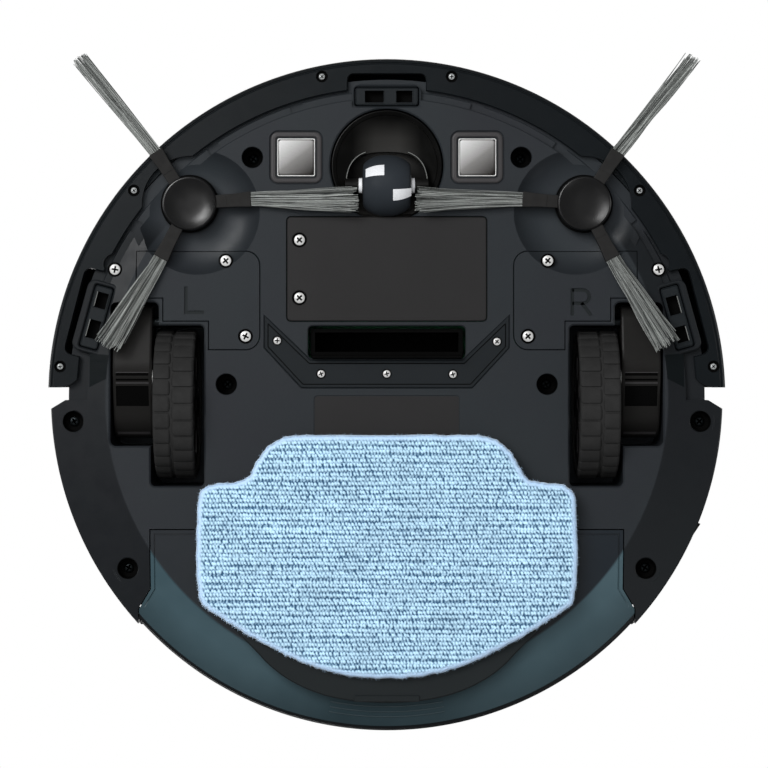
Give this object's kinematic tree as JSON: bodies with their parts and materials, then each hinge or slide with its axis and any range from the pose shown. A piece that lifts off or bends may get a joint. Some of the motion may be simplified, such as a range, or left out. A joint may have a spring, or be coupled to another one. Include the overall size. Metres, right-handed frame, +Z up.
{
  "type": "robot vacuum cleaner with mop",
  "caption": "Round robot vacuum with side brushes, sprung drive wheels, caster, suction mouth and a water tank with a mop cloth that slides out at the rear.",
  "frame": {"origin": "on the floor under the middle of the round body", "axes": "+Z up, +Y the driving direction; the side marked L on the underside is at +X"},
  "size_m": [0.2996, 0.2986, 0.0783],
  "materials": {
    "chassis": "fine texture",
    "cover": "fine texture",
    "bumper": "satin",
    "gloss_top": "polished",
    "black_inner": "dull",
    "tyre": "moulded tread",
    "rubber": "soft",
    "bristle": "nylon bristle",
    "steel": "bright",
    "white_plastic": "satin",
    "tank_smoke": "smoked, clear",
    "mop_cloth": "looped microfibre",
    "circuit_board": "solder mask",
    "battery_wrap": "shrink wrap",
    "filter_paper": "pleated paper",
    "gear_plastic": "moulded"
  },
  "bodies": {
    "chassis": {"base_plate": "chassis", "upper_shell": "chassis", "top_cover": "gloss_top", "battery_cover": "cover", "battery_screw_1": "steel", "battery_screw_2": "steel", "side_cover_left": "chassis", "side_cover_right": "chassis", "battery_pack": "battery_wrap", "inlet_frame": "chassis", "inlet_lip": "rubber", "suction_duct": "chassis", "charging_contact_left": "steel", "charging_contact_right": "steel", "cliff_sensor_front": "black_inner", "cliff_sensor_left": "black_inner", "cliff_sensor_right": "black_inner", "mainboard": "circuit_board", "side_brush_gearmotor_left": "steel", "side_brush_gearmotor_right": "steel", "bumper_switch_left": "black_inner", "bumper_switch_right": "black_inner", "arm_pin_left": "steel", "arm_pin_right": "steel", "suspension_spring_left": "steel", "suspension_spring_right": "steel"},
    "start_button": {"start_button": "cover"},
    "power_switch": {"power_switch": "rubber"},
    "bumper": {"bumper": "bumper", "bumper_window": "gloss_top"},
    "caster_swivel": {"caster_housing": "cover", "caster_axle": "white_plastic"},
    "caster_wheel": {"caster_wheel": "black_inner"},
    "rear_unit": {"water_tank": "tank_smoke", "tank_cap": "rubber", "dust_box": "tank_smoke", "dust_filter": "filter_paper", "fan_housing": "black_inner"},
    "tank_release_button": {"tank_release_button": "rubber"},
    "fan_impeller": {"fan_impeller": "white_plastic"},
    "mop": {"mop_holder": "cover", "mop_cloth": "mop_cloth"},
    "suspension_left": {"drive_arm_left": "cover", "drive_motor_left": "steel"},
    "drive_wheel_left": {"wheel_rim_left": "cover", "wheel_tyre_left": "tyre", "drive_axle_left": "gear_plastic"},
    "compound_gear_left": {"compound_gear_left": "gear_plastic"},
    "motor_pinion_left": {"motor_pinion_left": "gear_plastic"},
    "side_brush_left": {"side_brush_hub_left": "rubber", "side_brush_bristles_left": "bristle"},
    "suspension_right": {"drive_arm_right": "cover", "drive_motor_right": "steel"},
    "drive_wheel_right": {"wheel_rim_right": "cover", "wheel_tyre_right": "tyre", "drive_axle_right": "gear_plastic"},
    "compound_gear_right": {"compound_gear_right": "gear_plastic"},
    "motor_pinion_right": {"motor_pinion_right": "gear_plastic"},
    "side_brush_right": {"side_brush_hub_right": "rubber", "side_brush_bristles_right": "bristle"}
  },
  "joints": [
    {"name": "bumper_slide", "type": "slide", "parent": "chassis", "child": "bumper", "axis": [0, -1, 0], "range_m": [0, 0.003], "stiffness_N_per_m": 400, "springref_m": -0.002},
    {"name": "start_button_press", "type": "slide", "parent": "chassis", "child": "start_button", "axis": [0, 0, -1], "range_m": [0, 0.001], "stiffness_N_per_m": 600, "springref_m": -0.001},
    {"name": "power_switch_rock", "type": "hinge", "parent": "chassis", "child": "power_switch", "pos_m": [-0.13187, -0.06149, 0.0415], "axis": [0, 0, 1], "range_deg": [-10, 0]},
    {"name": "caster_swivel", "type": "hinge", "parent": "chassis", "child": "caster_swivel", "pos_m": [0, 0.1009, 0.03], "axis": [0, 0, 1], "continuous": true},
    {"name": "caster_roll", "type": "hinge", "parent": "caster_swivel", "child": "caster_wheel", "pos_m": [0, 0.092, 0.0132], "axis": [1, 0, 0], "continuous": true},
    {"name": "rear_unit_slide", "type": "slide", "parent": "chassis", "child": "rear_unit", "axis": [0, -1, 0], "range_m": [0, 0.14]},
    {"name": "tank_release_press", "type": "slide", "parent": "rear_unit", "child": "tank_release_button", "axis": [0, 1, 0], "range_m": [0, 0.003], "stiffness_N_per_m": 500, "springref_m": -0.002},
    {"name": "fan_spin", "type": "hinge", "parent": "rear_unit", "child": "fan_impeller", "pos_m": [-0.05, -0.0325, 0.03], "axis": [0, 0, 1], "continuous": true},
    {"name": "mop_slide", "type": "slide", "parent": "rear_unit", "child": "mop", "axis": [0, -1, 0], "range_m": [0, 0.115]},
    {"name": "suspension_left", "type": "hinge", "parent": "chassis", "child": "suspension_left", "pos_m": [0.1105, 0.033, 0.025], "axis": [1, 0, 0], "range_deg": [0, 20], "stiffness_Nm_per_rad": 0.24, "springref_deg": 34.38},
    {"name": "drive_wheel_spin_left", "type": "hinge", "parent": "suspension_left", "child": "drive_wheel_left", "pos_m": [0.092, -0.003, 0.0325], "axis": [1, 0, 0], "continuous": true},
    {"name": "compound_gear_spin_left", "type": "hinge", "parent": "suspension_left", "child": "compound_gear_left", "pos_m": [0.11, 0.012, 0.0325], "axis": [1, 0, 0], "continuous": true},
    {"name": "motor_pinion_spin_left", "type": "hinge", "parent": "suspension_left", "child": "motor_pinion_left", "pos_m": [0.106, 0.00907, 0.01983], "axis": [1, 0, 0], "continuous": true},
    {"name": "side_brush_spin_left", "type": "hinge", "parent": "chassis", "child": "side_brush_left", "pos_m": [0.0854, 0.0841, 0.0115], "axis": [0, 0, 1], "continuous": true, "deforming": ["side_brush_bristles_left"]},
    {"name": "suspension_right", "type": "hinge", "parent": "chassis", "child": "suspension_right", "pos_m": [-0.1105, 0.033, 0.025], "axis": [1, 0, 0], "range_deg": [0, 20], "stiffness_Nm_per_rad": 0.24, "springref_deg": 34.38},
    {"name": "drive_wheel_spin_right", "type": "hinge", "parent": "suspension_right", "child": "drive_wheel_right", "pos_m": [-0.092, -0.003, 0.0325], "axis": [1, 0, 0], "continuous": true},
    {"name": "compound_gear_spin_right", "type": "hinge", "parent": "suspension_right", "child": "compound_gear_right", "pos_m": [-0.11, 0.012, 0.0325], "axis": [1, 0, 0], "continuous": true},
    {"name": "motor_pinion_spin_right", "type": "hinge", "parent": "suspension_right", "child": "motor_pinion_right", "pos_m": [-0.106, 0.00907, 0.01983], "axis": [1, 0, 0], "continuous": true},
    {"name": "side_brush_spin_right", "type": "hinge", "parent": "chassis", "child": "side_brush_right", "pos_m": [-0.0854, 0.0841, 0.0115], "axis": [0, 0, 1], "continuous": true, "deforming": ["side_brush_bristles_right"]}
  ],
  "couplings": [
    {"joint": "compound_gear_spin_left", "follows": "drive_wheel_spin_left", "ratio": -2.3333},
    {"joint": "motor_pinion_spin_left", "follows": "drive_wheel_spin_left", "ratio": 7},
    {"joint": "compound_gear_spin_right", "follows": "drive_wheel_spin_right", "ratio": -2.3333},
    {"joint": "motor_pinion_spin_right", "follows": "drive_wheel_spin_right", "ratio": 7}
  ]
}
